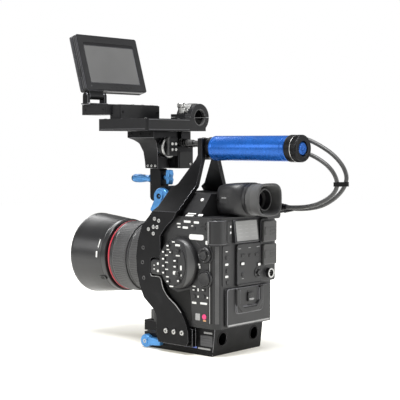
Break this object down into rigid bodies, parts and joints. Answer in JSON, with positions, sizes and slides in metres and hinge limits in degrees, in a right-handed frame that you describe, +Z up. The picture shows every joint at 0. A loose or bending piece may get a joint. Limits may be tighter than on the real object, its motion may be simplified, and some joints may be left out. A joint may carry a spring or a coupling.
{
  "type": "cinema camera rig",
  "caption": "Camera in a curved two-arm cage on a rod baseplate, with a hooded lens, tube top handle, rear viewfinder and a hinged monitor and microphone unit on a clamp post.",
  "frame": {"origin": "centre of the baseplate's underside, on the surface it stands on", "axes": "+Z up, the lens looks along -Y, the eyepiece faces +Y, and +X is the camera operator's left"},
  "size_m": [0.1242, 0.3704, 0.3907],
  "materials": {
    "black_metal": "black anodised, satin",
    "grey_metal": "clear anodised, fine turned",
    "screw_steel": "machined",
    "blue_grip": "blue anodised, satin",
    "blue_lever": "sky blue anodised, satin",
    "body_plastic": "fine moulded texture",
    "control_plastic": "smooth satin",
    "monitor_plastic": "fine moulded texture",
    "lens_plastic": "satin with printed scales",
    "ring_rubber": "ribbed",
    "soft_rubber": "matt",
    "cable_jacket": "smooth jacket",
    "red_paint": "gloss",
    "lens_glass": "coated",
    "screen_glass": "polished",
    "status_glass": "satin",
    "board": "solder mask",
    "battery": "satin"
  },
  "bodies": {
    "root": {"base_block": "black_metal", "locating_plate": "grey_metal", "cage_arm_left": "black_metal", "cage_arm_right": "black_metal", "cage_bridge": "black_metal", "arm_screw_1": "screw_steel", "arm_screw_2": "screw_steel", "arm_screw_3": "screw_steel", "handle_block": "black_metal", "handle_tube": "grey_metal", "handle_grip": "blue_grip", "camera_shell": "body_plastic", "control_cover": "body_plastic", "mount_ring": "grey_metal", "sensor_block": "grey_metal", "main_board": "board", "battery_pack": "battery", "status_screen": "status_glass", "rear_panel": "body_plastic", "terminal_column": "body_plastic", "lens_barrel": "lens_plastic", "red_ring": "red_paint", "front_element": "lens_glass", "cable_outer": "cable_jacket", "cable_inner": "cable_jacket", "plug_outer": "black_metal", "plug_inner": "black_metal"},
    "base_clamp": {"base_lever": "blue_lever"},
    "handle_end": {"handle_cap": "black_metal", "handle_plug": "blue_grip"},
    "monitor_mount": {"clamp_post": "black_metal", "funnel_bracket": "black_metal", "connector_block": "monitor_plastic", "monitor_base": "monitor_plastic"},
    "arm_clamp": {"arm_lever": "blue_lever"},
    "front_clamp": {"front_knob": "blue_lever"},
    "side_clamp": {"side_lever": "blue_lever"},
    "mic_cap": {"mic_lid": "monitor_plastic"},
    "mic_screw": {"mic_thumbscrew": "screw_steel"},
    "screen_swivel": {"screen_post": "monitor_plastic"},
    "screen": {"screen_housing": "monitor_plastic", "screen_panel": "screen_glass"},
    "viewfinder": {"viewfinder_body": "body_plastic", "eyecup": "soft_rubber", "eyepiece_lens": "lens_glass"},
    "dioptre": {"dioptre_dial": "control_plastic"},
    "zoom": {"zoom_ring": "ring_rubber"},
    "focus": {"focus_ring": "ring_rubber"},
    "hood": {"lens_hood": "lens_plastic"},
    "dial": {"select_dial": "control_plastic"},
    "record_key": {"record_button": "control_plastic"},
    "side_key_1": {"side_button_1": "control_plastic"},
    "side_key_2": {"side_button_2": "control_plastic"},
    "joystick": {"rear_joystick": "control_plastic"},
    "battery_door": {"battery_cover": "body_plastic"},
    "battery_catch": {"battery_latch": "control_plastic"},
    "flap_lower": {"terminal_flap_lower": "soft_rubber"},
    "flap_upper": {"terminal_flap_upper": "soft_rubber"},
    "card_cover": {"card_door": "body_plastic"}
  },
  "joints": [
    {"name": "base_lever_turn", "type": "hinge", "parent": "root", "child": "base_clamp", "pos_m": [0.0464, -0.049, 0.0085], "axis": [1, 0, 0], "range_deg": [0, 110]},
    {"name": "handle_end_turn", "type": "hinge", "parent": "root", "child": "handle_end", "pos_m": [0, 0.141, 0.245], "axis": [0, 1, 0], "continuous": true},
    {"name": "mount_roll", "type": "hinge", "parent": "root", "child": "monitor_mount", "pos_m": [0, -0.055, 0.186], "axis": [0, 1, 0], "range_deg": [-15, 15]},
    {"name": "arm_lever_turn", "type": "hinge", "parent": "monitor_mount", "child": "arm_clamp", "pos_m": [0.0123, -0.054, 0.185], "axis": [1, 0, 0], "range_deg": [-60, 60]},
    {"name": "front_knob_turn", "type": "hinge", "parent": "monitor_mount", "child": "front_clamp", "pos_m": [0, -0.0836, 0.206], "axis": [0, 1, 0], "continuous": true},
    {"name": "side_lever_turn", "type": "hinge", "parent": "monitor_mount", "child": "side_clamp", "pos_m": [0, -0.0576, 0.208], "axis": [0, 1, 0], "range_deg": [0, 90]},
    {"name": "mic_lid_open", "type": "hinge", "parent": "monitor_mount", "child": "mic_cap", "pos_m": [-0.0595, -0.0545, 0.284], "axis": [0, -1, 0], "range_deg": [0, 110]},
    {"name": "mic_screw_turn", "type": "hinge", "parent": "mic_cap", "child": "mic_screw", "pos_m": [-0.02, -0.0545, 0.29], "axis": [0, 0, 1], "continuous": true},
    {"name": "screen_turn", "type": "hinge", "parent": "monitor_mount", "child": "screen_swivel", "pos_m": [0.041, -0.149, 0.3], "axis": [0, 0, 1], "range_deg": [-90, 90]},
    {"name": "screen_tilt", "type": "hinge", "parent": "screen_swivel", "child": "screen", "pos_m": [0.041, -0.1486, 0.3113], "axis": [1, 0, 0], "range_deg": [-95, 60]},
    {"name": "viewfinder_tilt", "type": "hinge", "parent": "root", "child": "viewfinder", "pos_m": [0, 0.037, 0.1847], "axis": [1, 0, 0], "range_deg": [0, 20]},
    {"name": "dioptre_turn", "type": "hinge", "parent": "viewfinder", "child": "dioptre", "pos_m": [-0.0213, 0.059, 0.1897], "axis": [1, 0, 0], "range_deg": [-120, 120]},
    {"name": "zoom_turn", "type": "hinge", "parent": "root", "child": "zoom", "pos_m": [0, -0.074, 0.1058], "axis": [0, 1, 0], "range_deg": [-30, 60]},
    {"name": "focus_turn", "type": "hinge", "parent": "root", "child": "focus", "pos_m": [0, -0.103, 0.1058], "axis": [0, 1, 0], "range_deg": [-60, 60]},
    {"name": "hood_turn", "type": "hinge", "parent": "root", "child": "hood", "pos_m": [0, -0.15, 0.1058], "axis": [0, 1, 0], "range_deg": [0, 60]},
    {"name": "dial_turn", "type": "hinge", "parent": "root", "child": "dial", "pos_m": [0.0523, 0.048, 0.1205], "axis": [1, 0, 0], "continuous": true},
    {"name": "record_press", "type": "slide", "parent": "root", "child": "record_key", "axis": [-1, 0, 0], "range_m": [0, 0.001], "stiffness_N_per_m": 400},
    {"name": "side_button_1_press", "type": "slide", "parent": "root", "child": "side_key_1", "axis": [-1, 0, 0], "range_m": [0, 0.001], "stiffness_N_per_m": 400},
    {"name": "side_button_2_press", "type": "slide", "parent": "root", "child": "side_key_2", "axis": [-1, 0, 0], "range_m": [0, 0.001], "stiffness_N_per_m": 400},
    {"name": "joystick_press", "type": "slide", "parent": "root", "child": "joystick", "axis": [0, -1, 0], "range_m": [0, 0.001], "stiffness_N_per_m": 400},
    {"name": "battery_door_open", "type": "hinge", "parent": "root", "child": "battery_door", "pos_m": [0, 0.0683, 0.0359], "axis": [-1, 0, 0], "range_deg": [0, 90]},
    {"name": "battery_catch_slide", "type": "slide", "parent": "battery_door", "child": "battery_catch", "axis": [0, 0, -1], "range_m": [0, 0.003], "stiffness_N_per_m": 400},
    {"name": "flap_lower_open", "type": "hinge", "parent": "root", "child": "flap_lower", "pos_m": [-0.053, 0.0696, 0.1165], "axis": [0, 0, 1], "range_deg": [0, 100]},
    {"name": "flap_upper_open", "type": "hinge", "parent": "root", "child": "flap_upper", "pos_m": [-0.053, 0.0696, 0.1445], "axis": [0, 0, 1], "range_deg": [0, 100]},
    {"name": "card_cover_open", "type": "hinge", "parent": "root", "child": "card_cover", "pos_m": [0.0542, 0.052, 0.147], "axis": [0, 0, -1], "range_deg": [0, 90]}
  ]
}
